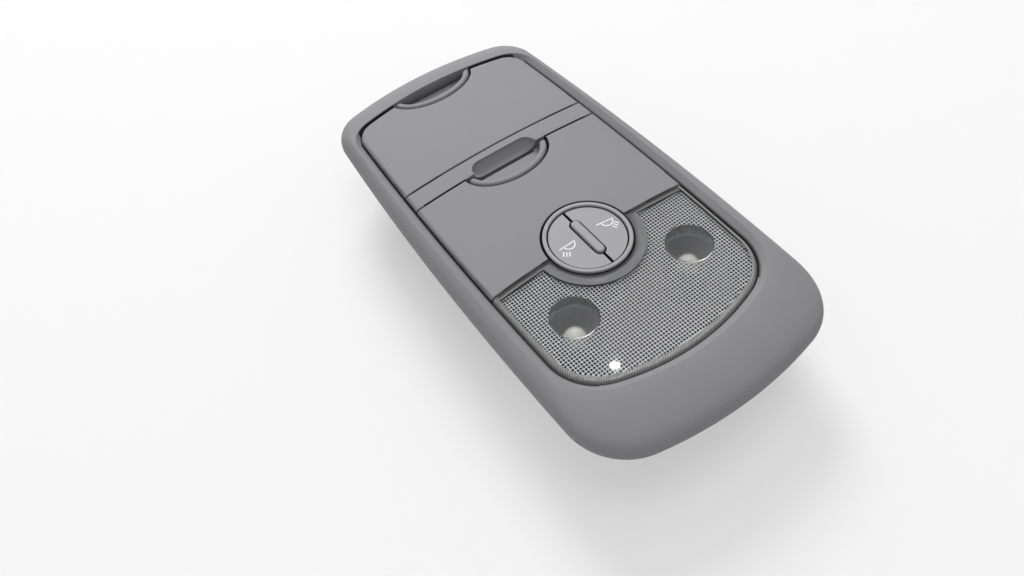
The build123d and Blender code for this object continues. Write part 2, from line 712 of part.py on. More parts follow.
def lamp_housing():
    """The tub under the lens: walls that stand on the back, a raised floor and a flange."""
    floor_bottom, floor_top = LAMP_FLOOR
    top = under_face(CARRIER_DROP + CARRIER_THICK)
    tub = prism(lamp_plan(LAMP_WALL) - lamp_plan(0), 0, top)
    tub += prism(lamp_plan(LAMP_WALL), floor_bottom, floor_top)
    tub += prism(lamp_plan(LAMP_WALL + LAMP_FLANGE) - lamp_plan(0), top - LAMP_FLANGE_THICK, top)
    board_room = under_face(CUP_DROP + BOARD_THICK + BOARD_CLEARANCE)
    tub -= post(0, SWITCH_Y, SWITCH_FLANGE_RADIUS + EAR_GAP, board_room, top)
    for x, y in lamp_screw_places():
        tub -= post(x, y, SCREW_RADIUS + SCREW_FIT, top - LAMP_FLANGE_THICK, top)
    for side in (-1, 1):
        tub -= post(side * WINDOW_X, LAMP_Y, HOLDER_RADIUS + SEATED_FIT, floor_bottom, floor_top)
    return tub


def turned(profile, x, y):
    """A closed (radius, height) outline turned about an upright line."""
    return Pos(x, y, 0) * revolve(Plane.XZ * profile, Axis.Z)


def reflector(side):
    """A thin bowl that opens towards the lens."""
    floor = LAMP_FLOOR[1]
    top = under_face(REFLECTOR_TOP_DROP)
    throat = REFLECTOR_THROAT - REFLECTOR_WALL / 4
    out, up = REFLECTOR_BULGE
    middle = (REFLECTOR_THROAT + (REFLECTOR_MOUTH - REFLECTOR_THROAT) * out, floor + (top - floor) * up)
    bowl = ThreePointArc((REFLECTOR_THROAT, floor), middle, (REFLECTOR_MOUTH, top))
    profile = make_face(bowl + Line((REFLECTOR_MOUTH, top), (REFLECTOR_MOUTH - REFLECTOR_WALL, top))
                        + ThreePointArc((REFLECTOR_MOUTH - REFLECTOR_WALL, top),
                                        (middle[0] - REFLECTOR_WALL, middle[1]),
                                        (throat, floor))
                        + Line((throat, floor), (REFLECTOR_THROAT, floor)))
    shell = turned(profile, side * WINDOW_X, LAMP_Y)
    flange = post(side * WINDOW_X, LAMP_Y, REFLECTOR_FLANGE, floor, floor + REFLECTOR_WALL)
    flange -= post(side * WINDOW_X, LAMP_Y, throat, floor, floor + REFLECTOR_WALL)
    return shell + flange


def bulb_holder(side):
    x = side * WINDOW_X
    holder = post(x, LAMP_Y, HOLDER_RADIUS, HOLDER_BOTTOM, HOLDER_TOP)
    holder += post(x, LAMP_Y, HOLDER_FLANGE, LAMP_FLOOR[0] - HOLDER_FLANGE_THICK, LAMP_FLOOR[0])
    return holder - post(x, LAMP_Y, BULB_BASE_RADIUS + SEATED_FIT, HOLDER_TOP - HOLDER_SOCKET, HOLDER_TOP)


def bulb(side):
    """A wedge-base bulb: straight base, wider glass and a domed tip."""
    bottom = HOLDER_TOP - HOLDER_SOCKET
    shoulder = HOLDER_TOP + BULB_NECK
    tip = under_face(BULB_TOP_DROP)
    dome = tip - BULB_RADIUS
    outline = (Line((0, bottom), (BULB_BASE_RADIUS, bottom))
               + Line((BULB_BASE_RADIUS, bottom), (BULB_BASE_RADIUS, shoulder))
               + Line((BULB_BASE_RADIUS, shoulder), (BULB_RADIUS, shoulder + BULB_SHOULDER))
               + Line((BULB_RADIUS, shoulder + BULB_SHOULDER), (BULB_RADIUS, dome))
               + RadiusArc((BULB_RADIUS, dome), (0, tip), -BULB_RADIUS)
               + Line((0, tip), (0, bottom)))
    return turned(make_face(outline), side * WINDOW_X, LAMP_Y)


def bus_bars():
    """Brass strips under the lamp housing's floor, and the riser to the switch board."""
    top = LAMP_FLOOR[0]
    strips = []
    for row in (-1, 1):
        y = LAMP_Y + row * (HOLDER_FLANGE + BUS_WIDTH / 2)
        strips.append(block((-WINDOW_X, WINDOW_X), (y - BUS_WIDTH / 2, y + BUS_WIDTH / 2),
                            (top - BUS_THICK, top)))
    riser_y = LENS_FRONT - LAMP_FRONT_INSET - BUS_THICK
    strips.append(block((-BUS_WIDTH / 2, BUS_WIDTH / 2), (riser_y, riser_y + BUS_THICK),
                        (LAMP_FLOOR[1], under_face(CUP_DROP + BOARD_THICK))))
    return Compound(children=strips)


def socket_span():
    width, height, depth = SOCKET
    back = OPENING_REAR + LAMP_REAR_INSET - LAMP_WALL
    return (-width / 2, width / 2), (back - depth, back), (SOCKET_Z - height / 2, SOCKET_Z + height / 2)


def connector_socket():
    x_span, y_span, z_span = socket_span()
    shell = block(x_span, y_span, z_span)
    return shell - block((x_span[0] + SOCKET_WALL, x_span[1] - SOCKET_WALL),
                         (y_span[0], y_span[1] - SOCKET_WALL),
                         (z_span[0] + SOCKET_WALL, z_span[1] - SOCKET_WALL))


def connector_pins():
    y_span = socket_span()[1]
    group = []
    for number in range(PIN_COUNT):
        x = (number - (PIN_COUNT - 1) / 2) * PIN_PITCH
        group.append(block((x - PIN_SIDE / 2, x + PIN_SIDE / 2),
                           (y_span[0] + PIN_RECESS, y_span[1] - SOCKET_WALL),
                           (SOCKET_Z - PIN_SIDE / 2, SOCKET_Z + PIN_SIDE / 2)))
    return Compound(children=group)


def screws(places, seat, length, up):
    """Pan-head screws with their heads on a seat and their shanks along Z."""
    sense = 1 if up else -1
    group = []
    for x, y in places:
        head = post(x, y, SCREW_HEAD_RADIUS, *sorted((seat - sense * SCREW_HEAD, seat)))
        group.append(head + post(x, y, SCREW_RADIUS, *sorted((seat, seat + sense * length))))
    return Compound(children=group)


def build_nodes():
    front_ends, rear_ends = bin_ends()
    plate_bottom = under_face(CARRIER_DROP + CARRIER_THICK)
    flange_top = under_face(CARRIER_DROP - BIN_FLANGE_THICK)
    front_edge = OPENING_FRONT - PANEL_GAP
    rear_edge = SEAM_REAR - SEAM_GAP / 2
    bin_places = bin_screw_places(front_ends[1]) + bin_screw_places(rear_ends[1])
    nodes = {
        "bezel": bezel(),
        "carrier": carrier(),
        "front_lid": front_lid(),
        "rear_lid": rear_lid(),
        "front_latch": front_latch(),
        "rear_latch": rear_latch(),
        "front_latch_pin": latch_pin(front_edge),
        "rear_latch_pin": latch_pin(rear_edge),
        "front_latch_spring": latch_spring(FRONT_MOON, front_edge),
        "rear_latch_spring": latch_spring(REAR_MOON, rear_edge),
        "front_hinge_pins": hinge_pins(FRONT_HINGE_Y),
        "rear_hinge_pins": hinge_pins(REAR_HINGE_Y),
        "front_bin": bin_tub(*front_ends, FRONT_HINGE_Y),
        "rear_bin": bin_tub(*rear_ends, REAR_HINGE_Y),
        "lid_bumpers": lid_bumpers(),
        "lens": lens(),
        "lamp_housing": lamp_housing(),
        "switch_housing": switch_housing(),
        "switch_board": switch_board(),
        "bus_bars": bus_bars(),
        "connector_socket": connector_socket(),
        "connector_pins": connector_pins(),
        "roof_clips": roof_clips(),
        "bezel_screws": screws(boss_places(), plate_bottom, BEZEL_SCREW, True),
        "bin_screws": screws(bin_places, flange_top, BIN_SCREW, False),
        "lamp_screws": screws(lamp_screw_places(), plate_bottom - LAMP_FLANGE_THICK, LAMP_SCREW, True),
        "switch_screws": screws(switch_screw_places(), under_face(CUP_DROP), SWITCH_SCREW, True),
    }
    for side, name in ((-1, "left"), (1, "right")):
        nodes[name + "_button"] = button(side)
        nodes[name + "_contact_leaf"] = contact_leaf(side)
        nodes[name + "_reflector"] = reflector(side)
        nodes[name + "_bulb"] = bulb(side)
        nodes[name + "_bulb_holder"] = bulb_holder(side)
    return nodes


os.makedirs("parts", exist_ok=True)
for node_name, solid in build_nodes().items():
    export_step(solid, f"parts/{node_name}.step")
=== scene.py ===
# %% [markdown]
# # A car's roof console with two map lights
# The console lies on its back, face up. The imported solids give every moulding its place, and this
# lesson dresses them: grained plastic, a clear lens with moulded prisms, printed lamp signs, lamps.

# %% Load the frame
import math

import bmesh
import bpy
from mathutils import Matrix, Vector


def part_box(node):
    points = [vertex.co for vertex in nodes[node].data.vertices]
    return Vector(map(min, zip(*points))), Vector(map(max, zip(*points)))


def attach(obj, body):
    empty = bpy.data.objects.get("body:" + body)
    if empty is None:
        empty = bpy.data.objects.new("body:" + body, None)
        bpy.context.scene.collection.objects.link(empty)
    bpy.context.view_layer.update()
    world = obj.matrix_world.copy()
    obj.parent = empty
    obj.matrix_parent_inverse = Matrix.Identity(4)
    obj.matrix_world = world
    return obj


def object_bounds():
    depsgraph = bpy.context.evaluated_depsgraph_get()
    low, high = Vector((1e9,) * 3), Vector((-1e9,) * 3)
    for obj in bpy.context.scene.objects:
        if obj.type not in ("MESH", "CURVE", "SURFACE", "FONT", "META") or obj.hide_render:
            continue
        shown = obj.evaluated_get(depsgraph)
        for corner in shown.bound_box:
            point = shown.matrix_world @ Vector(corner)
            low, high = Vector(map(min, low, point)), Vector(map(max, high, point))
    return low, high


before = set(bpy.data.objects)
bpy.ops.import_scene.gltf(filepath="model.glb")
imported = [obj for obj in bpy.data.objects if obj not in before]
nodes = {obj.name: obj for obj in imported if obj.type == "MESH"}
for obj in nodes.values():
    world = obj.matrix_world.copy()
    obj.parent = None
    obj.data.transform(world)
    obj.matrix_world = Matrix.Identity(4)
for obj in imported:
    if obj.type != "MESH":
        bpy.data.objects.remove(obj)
cad_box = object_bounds()
MM = 0.001
print("console in millimetres:", [round(side / MM, 1) for side in cad_box[1] - cad_box[0]])

# %% [markdown]
# ## Where things are
# The face of the lids, the round switch and the two lamp windows are read from the frame, so that
# every added piece follows the solids. The switch ring is the widest round thing on the face.

# %% Read places from the frame
LATCH_CLEARANCE = 0.8 * MM

face_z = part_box("front_lid")[1].z
ring_low, ring_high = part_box("switch_housing")
switch_y = (ring_low.y + ring_high.y) / 2
lamp_places = {}
for side in ("left", "right"):
    low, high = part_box(side + "_bulb")
    lamp_places[side] = ((low.x + high.x) / 2, (low.y + high.y) / 2)
lens_low, lens_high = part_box("lens")
ring_half = (ring_high.x - ring_low.x) / 2
lid_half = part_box("rear_lid")[1].x
far_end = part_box("front_lid")[1].y
latch_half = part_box("rear_latch")[1].x + LATCH_CLEARANCE
print("face at", round(face_z / MM, 2), "switch at y", round(switch_y / MM, 2))
print("lamps at", {side: [round(step / MM, 1) for step in spot] for side, spot in lamp_places.items()})

# %% [markdown]
# ## Shader maths in Python
# A material is a graph of nodes. A small wrapper lets a line such as `1 - mask * 0.3` add the Math
# nodes that it needs, and one method makes every other node from its type, settings and inputs.


# %% The wrapper for shader values
class Value:
    """A socket's value, on which Python's operators add Math nodes."""

    def __init__(self, graph, socket):
        self.graph = graph
        self.socket = socket

    def _math(self, operation, first, second):
        return self.graph.node("ShaderNodeMath", {"operation": operation}, {0: first, 1: second})[0]

    def __add__(self, other):
        return self._math("ADD", self, other)

    __radd__ = __add__

    def __sub__(self, other):
        return self._math("SUBTRACT", self, other)

    def __rsub__(self, other):
        return self._math("SUBTRACT", other, self)

    def __mul__(self, other):
        return self._math("MULTIPLY", self, other)

    __rmul__ = __mul__

    def __abs__(self):
        return self._math("ABSOLUTE", self, 0.0)

    def __lt__(self, other):
        return self._math("LESS_THAN", self, other)

    def __gt__(self, other):
        return self._math("GREATER_THAN", self, other)

    def near(self, centre, reach):
        """One within the reach on both sides of a centre, and zero elsewhere."""
        return abs(self - centre) < reach


class Finish:
    """A material under construction."""

    def __init__(self, name):
        self.material = bpy.data.materials.new(name)
        self.material.use_nodes = True
        self.tree = self.material.node_tree
        self.tree.nodes.clear()
        self.place = self.node("ShaderNodeTexCoord", {}, {})["Object"]

    def node(self, kind, settings, inputs):
        made = self.tree.nodes.new(kind)
        for name, setting in settings.items():
            setattr(made, name, setting)
        for name, given in inputs.items():
            if isinstance(given, Value):
                self.tree.links.new(given.socket, made.inputs[name])
            else:
                made.inputs[name].default_value = given
        return Outputs(self, made)

    def surface(self, shader):
        self.node("ShaderNodeOutputMaterial", {}, {"Surface": shader})
        return self.material


class Outputs:
    """A node's outputs, by name or number."""

    def __init__(self, graph, made):
        self.graph = graph
        self.made = made

    def __getitem__(self, name):
        return Value(self.graph, self.made.outputs[name])


def grey(level):
    return (level, level, level, 1.0)


# %% [markdown]
# ## Painted shade in the seams
# The seams round the lids are under a millimetre wide, and hardly any light gets into them. A mask finds
# their walls from the place and the tilt of a surface, and paints them dark as shade. The valleys beside
# the lids follow the lids' taper, and the seams across their ends bow a little, so each has a reach of its
# own.

# %% The seams
WALL_TILT = 0.75
OVERHANG = -0.2
SEAM_REACH = 1.6 * MM
SEAM_DROP = 0.08 * MM
SEAM_DEPTH = 6.0 * MM
VALLEY_TOP = 1.0 * MM
VALLEY_FLOOR = 1.7 * MM
VALLEY_DEPTH = 3.2 * MM
LID_TAPER = 4.0 * MM
FAR_BOW = 4.0 * MM
CORNER_CLEARANCE = 12.0 * MM


def shaded_seam_mask(finish):
    """A mask for painted shade: the valleys beside the lids, and the walls across their ends and round the
    ring.
    """
    part = finish.node("ShaderNodeSeparateXYZ", {}, {0: finish.place})
    facing = finish.node("ShaderNodeNewGeometry", {}, {})["True Normal"]
    tilt = finish.node("ShaderNodeSeparateXYZ", {}, {0: facing})["Z"]
    upright = abs(tilt) < WALL_TILT
    from_middle = abs(part["X"])
    valley = finish.node("ShaderNodeMapRange", {"interpolation_type": "SMOOTHSTEP"}, {
        "Value": part["Z"], "From Min": face_z - VALLEY_FLOOR, "From Max": face_z - VALLEY_TOP,
        "To Min": 1.0, "To Max": 0.0})[0]
    along_lids = (part["Y"] > lens_low.y) * (part["Y"] < far_end - CORNER_CLEARANCE)
    open_above = (tilt > OVERHANG) * (part["Z"] > face_z - VALLEY_DEPTH)
    at_side = from_middle.near(lid_half - LID_TAPER, LID_TAPER + SEAM_REACH)
    beside = valley * open_above * at_side * along_lids
    across = part["Y"] - switch_y
    ends = part["X"] * part["X"] + across * across < (ring_half + SEAM_REACH) ** 2
    for lid in ("front_lid", "rear_lid"):
        near_end, latch_end = (corner.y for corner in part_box(lid))
        ends = ends + part["Y"].near(near_end, SEAM_REACH)
        ends = ends + part["Y"].near(latch_end - FAR_BOW, FAR_BOW + SEAM_REACH) * (from_middle > latch_half)
    inside = from_middle < lid_half - CORNER_CLEARANCE / 2
    under_face = part["Z"].near(face_z - SEAM_DROP - SEAM_DEPTH / 2, SEAM_DEPTH / 2)
    return beside + upright * under_face * inside * (ends > 0.0)


print("seams reach", round(SEAM_DEPTH / MM, 1), "millimetres under the face")

# %% [markdown]
# ## Moulded plastic
# Car trim is moulded in a tool with a fine spark-eroded grain. Two sizes of noise make it: a grain of
# about a third of a millimetre, felt as bump and as a faint change of shine, and a broad cloudiness
# that keeps a large lid from looking painted flat. A finish can also turn dark under a given height, which
# is painted shade in the narrow gaps round the switch, and take the painted shade of the seams.


# %% Grained plastic
TINT_SPREAD = 0.07
SHINE_SPREAD = 0.2
CLOUD_SCALE = 22.0
SHADE_PAINT_FADE = 0.5 * MM
PAINTED_GAP_SHADE = 0.006
GRAIN_STRENGTH = 0.35
TRIM_SPECULAR = 0.35


def grained_plastic(name, colour, roughness, grain, depth, painted_shade_below=None, painted_seam_shade=None):
    """A plastic whose grain and depth of grain are in millimetres."""
    finish = Finish(name)
    fine = finish.node("ShaderNodeTexNoise", {}, {"Vector": finish.place, "Scale": 1 / (grain * MM),
                                                  "Detail": 3.0, "Roughness": 0.6})["Fac"]
    broad = finish.node("ShaderNodeTexNoise", {}, {"Vector": finish.place, "Scale": CLOUD_SCALE,
                                                   "Detail": 2.0})["Fac"]
    tint = fine * 0.5 + broad * 0.5
    light = tuple(part * (1 + TINT_SPREAD) for part in colour) + (1.0,)
    dark = tuple(part * (1 - TINT_SPREAD) for part in colour) + (1.0,)
    shade = finish.node("ShaderNodeMix", {"data_type": "RGBA"}, {0: tint, 6: dark, 7: light})[2]
    # Painted shade: under the given height the colour fades to near black, as in the narrow gaps round the
    # switch.
    if painted_shade_below is not None:
        height = finish.node("ShaderNodeSeparateXYZ", {}, {0: finish.place})["Z"]
        lit = finish.node("ShaderNodeMapRange", {"interpolation_type": "SMOOTHSTEP"}, {
            "Value": height, "From Min": painted_shade_below - SHADE_PAINT_FADE, "From Max": painted_shade_below})[0]
        shade = finish.node("ShaderNodeMix", {"data_type": "RGBA"}, {
            0: lit, 6: grey(PAINTED_GAP_SHADE), 7: shade})[2]
    # Painted shade: the seam walls round the lids are coloured dark.
    if painted_seam_shade is not None:
        shade = finish.node("ShaderNodeMix", {"data_type": "RGBA"}, {
            0: shaded_seam_mask(finish), 6: shade, 7: grey(painted_seam_shade)})[2]
    bump = finish.node("ShaderNodeBump", {}, {"Height": fine, "Strength": GRAIN_STRENGTH,
                                              "Distance": depth * MM})["Normal"]
    shader = finish.node("ShaderNodeBsdfPrincipled", {}, {
        "Base Color": shade, "Roughness": fine * SHINE_SPREAD + (roughness - SHINE_SPREAD / 2),
        "Normal": bump, "Specular IOR Level": TRIM_SPECULAR})["BSDF"]
    return finish.surface(shader)


# %% The plastics
SWITCH_STEP = 0.5 * MM
TRIM = {"colour": (0.208, 0.205, 0.215), "roughness": 0.62, "grain": 0.34, "depth": 0.05}

# The bezel and carrier get a darker painted seam shade than the lids.
trim_grey = grained_plastic("trim_grey", **TRIM, painted_seam_shade=0.02)
lid_grey = grained_plastic("lid_grey", **TRIM, painted_seam_shade=0.10)
latch_grey = grained_plastic("latch_grey", **TRIM)
# The switch's ring and buttons get painted shade below the face, in the gaps round them.
button_grey = grained_plastic("button_grey", (0.290, 0.288, 0.298), roughness=0.50, grain=0.25, depth=0.02,
                              painted_shade_below=face_z - SWITCH_STEP)
reflector_grey = grained_plastic("reflector_grey", (0.15, 0.15, 0.158), roughness=0.75, grain=0.5,
                                 depth=0.0)
inner_grey = grained_plastic("inner_grey", (0.150, 0.150, 0.154), roughness=0.55, grain=0.5, depth=0.04)
lamp_grey = grained_plastic("lamp_grey", (0.50, 0.50, 0.505), roughness=0.6, grain=0.5, depth=0.04)
black_nylon = grained_plastic("black_nylon", (0.018, 0.018, 0.019), roughness=0.5, grain=0.4, depth=0.03)
soft_rubber = grained_plastic("soft_rubber", (0.02, 0.02, 0.02), roughness=0.8, grain=0.3, depth=0.05)
board_brown = grained_plastic("board_brown", (0.20, 0.13, 0.06), roughness=0.6, grain=0.6, depth=0.02)
print("grain of the trim in millimetres:", TRIM["grain"])

# %% [markdown]
# ## Metals
# Springs, pins and screws are steel, and the current runs in brass. A stretched noise gives the faint
# lines of rolling, and a slower one the dull patches that bare metal gets.


# %% Drawn metal
ROLLING_STRETCH = (60.0, 900.0, 900.0)
DULL_SCALE = 180.0
DULL_TINT = 0.8
DULL_SPREAD = 0.15
LINE_STRENGTH = 0.15
LINE_DEPTH = 0.02 * MM


def drawn_metal(name, colour, roughness):
    finish = Finish(name)
    along = finish.node("ShaderNodeMapping", {}, {"Vector": finish.place, "Scale": ROLLING_STRETCH})[0]
    lines = finish.node("ShaderNodeTexNoise", {}, {"Vector": along, "Scale": 3.0, "Detail": 3.0})["Fac"]
    dull = finish.node("ShaderNodeTexNoise", {}, {"Vector": finish.place, "Scale": DULL_SCALE})["Fac"]
    dark = tuple(part * DULL_TINT for part in colour) + (1.0,)
    shade = finish.node("ShaderNodeMix", {"data_type": "RGBA"}, {0: dull, 6: dark, 7: colour + (1.0,)})[2]
    bump = finish.node("ShaderNodeBump", {}, {"Height": lines, "Strength": LINE_STRENGTH,
                                              "Distance": LINE_DEPTH})["Normal"]
    shader = finish.node("ShaderNodeBsdfPrincipled", {}, {
        "Base Color": shade, "Metallic": 1.0, "Roughness": roughness + dull * DULL_SPREAD,
        "Normal": bump})["BSDF"]
    return finish.surface(shader)


spring_steel = drawn_metal("spring_steel", (0.55, 0.55, 0.57), roughness=0.28)
pin_steel = drawn_metal("pin_steel", (0.62, 0.62, 0.63), roughness=0.2)
plated_steel = drawn_metal("plated_steel", (0.56, 0.56, 0.52), roughness=0.32)
strip_brass = drawn_metal("strip_brass", (0.72, 0.52, 0.22), roughness=0.3)
print("metals:", [metal.name for metal in (spring_steel, pin_steel, plated_steel, strip_brass)])

# %% [markdown]
# ## Clear plastic and glass
# The lens is polished acrylic, and real transmission bends the light in it. A lamp's light doesn't reach
# what lies behind glass that bends it, so for shadow rays a clear finish lets the light straight through.
#
# The prisms under the lens are the same acrylic, but each side gets a finish for what the eye sees there.
# Their sloping sides get a pale matt colour that stands in for the bright sky that polished prisms reflect,
# a painted reflection that the lamps still light for real; their flats are tinted dark as painted shade,
# for the dark inside of the lamp, and the top of their sheet hardly bends light, because on the real lens
# there is no second surface. The plain band round them is satin. The bulbs are thin frosted glass, a little
# warm from use.


# %% Clear finishes
HAZE_SCALE = 60.0
HAZE_SPREAD = 0.02


def clear_finish(name, colour, roughness, ior, clearness=1.0):
    finish = Finish(name)
    haze = finish.node("ShaderNodeTexNoise", {}, {"Vector": finish.place, "Scale": HAZE_SCALE})["Fac"]
    glass = finish.node("ShaderNodeBsdfPrincipled", {}, {
        "Base Color": colour, "Roughness": roughness + haze * HAZE_SPREAD, "IOR": ior,
        "Transmission Weight": clearness})["BSDF"]
    if clearness < 1:
        return finish.surface(glass)
    straight_through = finish.node("ShaderNodeBsdfTransparent", {}, {"Color": colour})["BSDF"]
    from_lamp = finish.node("ShaderNodeLightPath", {}, {})["Is Shadow Ray"]
    shader = finish.node("ShaderNodeMixShader", {}, {0: from_lamp, 1: glass, 2: straight_through})["Shader"]
    return finish.surface(shader)


# %% The clear plastics and the glass
ACRYLIC_IOR = 1.49
FAINT_IOR = 1.03
SOFT_IOR = 1.2
BULB_IOR = 1.4
ACRYLIC_COLOUR = (0.93, 0.935, 0.94, 1.0)

clear_acrylic = clear_finish("clear_acrylic", ACRYLIC_COLOUR, 0.01, ACRYLIC_IOR)
soft_acrylic = clear_finish("soft_acrylic", (0.80, 0.805, 0.81, 1.0), 0.25, SOFT_IOR)
inner_acrylic = clear_finish("inner_acrylic", ACRYLIC_COLOUR, 0.01, FAINT_IOR)
# Painted shade: the prisms' flats are tinted dark for the dark inside of the lamp.
shade_tinted_acrylic = clear_finish("shade_tinted_acrylic", (0.10, 0.10, 0.105, 1.0), 0.01, FAINT_IOR)
# Painted reflection: the slopes' pale matt colour stands in for the sky that polished prisms reflect; the
# lamps light it for real.
pale_reflection_acrylic = clear_finish("pale_reflection_acrylic", (0.92, 0.92, 0.92, 1.0), 0.5, ACRYLIC_IOR, clearness=0.1)
satin_acrylic = clear_finish("satin_acrylic", (0.20, 0.20, 0.205, 1.0), 0.4, SOFT_IOR, clearness=0.2)
bulb_glass = clear_finish("bulb_glass", (0.90, 0.85, 0.76, 1.0), 0.35, BULB_IOR, clearness=0.25)
print("the lens bends light by", ACRYLIC_IOR, "and its inner sheet by", FAINT_IOR)

# %% [markdown]
# ## White print
# The lamp signs are pad printed. The ink is a little uneven, so that two close whites are mixed by a
# noise about as fine as the dots of such a print.

# %% The print
WEAR_SCALE = 1500.0
PRINT_ROUGHNESS = 0.5

ink = Finish("white_print")
wear = ink.node("ShaderNodeTexNoise", {}, {"Vector": ink.place, "Scale": WEAR_SCALE})["Fac"]
ink_shade = ink.node("ShaderNodeMix", {"data_type": "RGBA"}, {
    0: wear, 6: (0.72, 0.72, 0.74, 1.0), 7: (0.86, 0.86, 0.88, 1.0)})[2]
white_print = ink.surface(ink.node("ShaderNodeBsdfPrincipled", {}, {
    "Base Color": ink_shade, "Roughness": PRINT_ROUGHNESS})["BSDF"])
print("ink:", white_print.name)

# %% [markdown]
# ## Dress the solids
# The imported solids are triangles. A small modifier welds them and shades them smooth across gentle
# bends, with edges sharper than 32 degrees kept crisp. A second one weighs the normals by area, so that a
# flat face stays optically flat up to its rounded edge. Each node gets the finish of its own part.


# %% Smooth shading for the solids
WELD_REACH = 0.004 * MM
CRISP_ANGLE = math.radians(32)
FULL_WEIGHT = 100


def soft_shading():
    tree = bpy.data.node_groups.new("soft_shading", "GeometryNodeTree")
    tree.interface.new_socket("Geometry", in_out="INPUT", socket_type="NodeSocketGeometry")
    tree.interface.new_socket("Geometry", in_out="OUTPUT", socket_type="NodeSocketGeometry")
    start = tree.nodes.new("NodeGroupInput")
    end = tree.nodes.new("NodeGroupOutput")
    weld = tree.nodes.new("GeometryNodeMergeByDistance")
    weld.inputs["Distance"].default_value = WELD_REACH
    angle = tree.nodes.new("GeometryNodeInputMeshEdgeAngle")
    gentle = tree.nodes.new("FunctionNodeCompare")
    gentle.operation = "LESS_THAN"
    gentle.inputs["B"].default_value = CRISP_ANGLE
    faces = tree.nodes.new("GeometryNodeSetShadeSmooth")
    edges = tree.nodes.new("GeometryNodeSetShadeSmooth")
    edges.domain = "EDGE"
    tree.links.new(angle.outputs["Unsigned Angle"], gentle.inputs["A"])
    tree.links.new(start.outputs[0], weld.inputs["Geometry"])
    tree.links.new(weld.outputs[0], faces.inputs["Geometry"])
    tree.links.new(faces.outputs[0], edges.inputs["Geometry"])
    tree.links.new(gentle.outputs["Result"], edges.inputs["Shade Smooth"])
    tree.links.new(edges.outputs[0], end.inputs[0])
    return tree


# %% Give each node its finish
finishes = {
    trim_grey: ["bezel", "carrier"],
    lid_grey: ["front_lid", "rear_lid"],
    latch_grey: ["front_latch", "rear_latch"],
    button_grey: ["switch_housing", "left_button", "right_button"],
    inner_grey: ["front_bin", "rear_bin"],
    lamp_grey: ["lamp_housing"],
    black_nylon: ["left_bulb_holder", "right_bulb_holder", "connector_socket"],
    soft_rubber: ["lid_bumpers"],
    board_brown: ["switch_board"],
    spring_steel: ["front_latch_spring", "rear_latch_spring", "roof_clips"],
    pin_steel: ["front_latch_pin", "rear_latch_pin", "front_hinge_pins", "rear_hinge_pins"],
    plated_steel: ["bezel_screws", "bin_screws", "lamp_screws", "switch_screws"],
    strip_brass: ["bus_bars", "connector_pins", "left_contact_leaf", "right_contact_leaf"],
    reflector_grey: ["left_reflector", "right_reflector"],
    clear_acrylic: ["lens"],
    bulb_glass: ["left_bulb", "right_bulb"],
}
shading = soft_shading()
dressed = 0
for finish, names in finishes.items():
    for name in names:
        solid = nodes[name]
        solid.data.materials.clear()
        solid.data.materials.append(finish)
        solid.modifiers.new("soft_shading", "NODES").node_group = shading
        flats = solid.modifiers.new("true_flats", "WEIGHTED_NORMAL")
        flats.keep_sharp = True
        flats.weight = FULL_WEIGHT
        dressed += 1
print("solids dressed:", dressed, "of", len(nodes))

# %% [markdown]
# ## Helpers for new pieces
# Every new piece starts as a bmesh shape, is moved to its place in the mesh itself and keeps its object
# at the origin, as the solids do. A Boolean needs objects, so that a shape that only cuts another one is
# an object for a moment, too.


# %% Piece helpers
def as_object(name, shape):
    """An object from a bmesh, which is freed."""
    mesh = bpy.data.meshes.new(name)
    shape.to_mesh(mesh)
    shape.free()
    made = bpy.data.objects.new(name, mesh)
    bpy.context.scene.collection.objects.link(made)
    return made


def as_shape(made):
    """A bmesh from an object, which is removed."""
    shape = bmesh.new()
    shape.from_mesh(made.data)
    bpy.data.objects.remove(made)
    return shape


def piece(name, shape, finish, body):
    """A finished object from a bmesh, riding on one body of the frame."""
    made = as_object(name, shape)
    made.data.materials.append(finish)
    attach(made, body)
    return made


def corners(geometry):
    """The vertices in what a bmesh operator gives back."""
    return [item for item in geometry if isinstance(item, bmesh.types.BMVert)]


# %% Cutting helpers
DRUM_SEGMENTS = 96


def boolean(body, tool, operation):
    """Applies one Boolean to an object and removes the tool."""
    modifier = body.modifiers.new(operation, "BOOLEAN")
    modifier.operation = operation
    modifier.object = tool
    modifier.solver = "EXACT"
    graph = bpy.context.evaluated_depsgraph_get()
    result = bpy.data.meshes.new_from_object(body.evaluated_get(graph))
    body.modifiers.clear()
    body.data = result
    bpy.data.objects.remove(tool)


def upright_drum(x, y, z, radius, height):
    shape = bmesh.new()
    bmesh.ops.create_cone(shape, cap_ends=True, segments=DRUM_SEGMENTS, radius1=radius, radius2=radius,
                          depth=height, matrix=Matrix.Translation((x, y, z)))
    return shape


# %% [markdown]
# ## The prism field
# Under the lens's flat top the real moulding has thousands of small square pillows. Their field follows
# the lens's own ceiling: its outline is taken from the solid, so that the two can't drift apart, drawn in a
# little, and the two windows and the band round the switch are cut away.

# %% A flat of the lens
LENS_THICK = 2.4 * MM
LEVEL_REACH = 0.2 * MM
LEVEL_TILT = 0.99


def flat_of_lens(level, sense, inset):
    """The lens's flat faces at a level, facing up or down, as one face drawn in from its edge."""
    flat = bmesh.new()
    flat.from_mesh(nodes["lens"].data)
    bmesh.ops.remove_doubles(flat, verts=flat.verts, dist=WELD_REACH)
    flat.normal_update()
    others = [face for face in flat.faces if face.normal.z * sense < LEVEL_TILT
              or abs(face.calc_center_median().z - level) > LEVEL_REACH]
    bmesh.ops.delete(flat, geom=others, context="FACES")
    bmesh.ops.dissolve_faces(flat, faces=flat.faces)
    border = bmesh.ops.inset_region(flat, faces=flat.faces[:], thickness=inset, use_even_offset=True)
    bmesh.ops.delete(flat, geom=border["faces"], context="FACES")
    return flat


